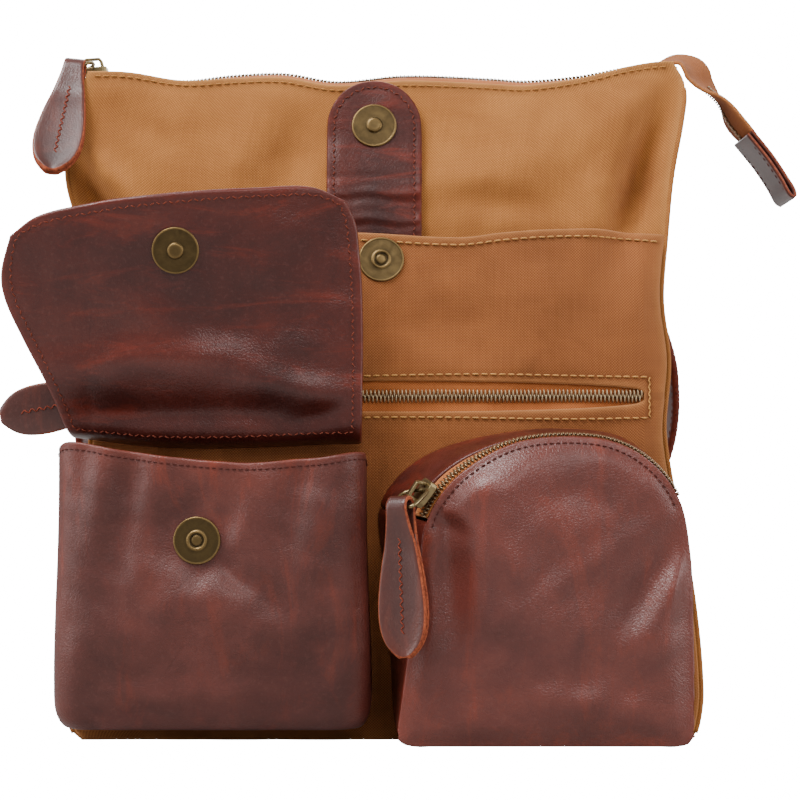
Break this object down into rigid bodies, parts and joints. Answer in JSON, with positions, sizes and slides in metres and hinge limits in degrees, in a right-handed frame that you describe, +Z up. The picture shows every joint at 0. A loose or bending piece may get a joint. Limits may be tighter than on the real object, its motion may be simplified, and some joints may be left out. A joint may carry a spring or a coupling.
{
  "type": "shoulder bag",
  "caption": "Upright canvas shoulder bag with leather box and dome pockets on its front, a canvas patch pocket, zips, snaps, leather pullers and a leather strap.",
  "frame": {"origin": "middle of the base, on the surface that the bag stands on", "axes": "+Z up from the base to the top zip, +X to the right as the front is seen, -Y out of the front with the pockets"},
  "size_m": [0.3222, 0.1705, 0.2839],
  "materials": {
    "canvas": "heavy plain-woven cotton canvas, tan, matt",
    "leather": "waxed pull-up leather, dark burgundy brown with lighter rubbed marks",
    "zip_tape": "woven zip tape, orange brown",
    "brass": "antique brass, dark and rubbed"
  },
  "bodies": {
    "root": {"front_panel": "canvas", "back_panel": "canvas", "gusset": "canvas", "canvas_pocket": "canvas", "zip_tail": "canvas", "top_zip_tape_front": "zip_tape", "top_zip_tape_back": "zip_tape", "front_zip_tape": "zip_tape", "dome_zip_tape": "zip_tape", "closing_tab": "leather", "left_pocket": "leather", "flap": "leather", "dome_pocket_front": "leather", "dome_pocket_top_band": "leather", "dome_pocket_gusset": "leather", "front_puller": "leather", "dome_puller": "leather", "top_puller": "leather", "tail_end_tab": "leather", "shoulder_strap": "leather", "top_zip_chain": "brass", "front_zip_chain": "brass", "dome_zip_chain": "brass", "tab_snap_stud": "brass", "pocket_snap_socket": "brass", "left_pocket_snap_socket": "brass", "flap_snap_stud": "brass", "front_zip_slider": "brass", "front_pull_ring": "brass", "dome_zip_slider": "brass", "dome_pull_ring": "brass", "top_zip_slider": "brass", "top_pull_ring": "brass"}
  },
  "joints": []
}
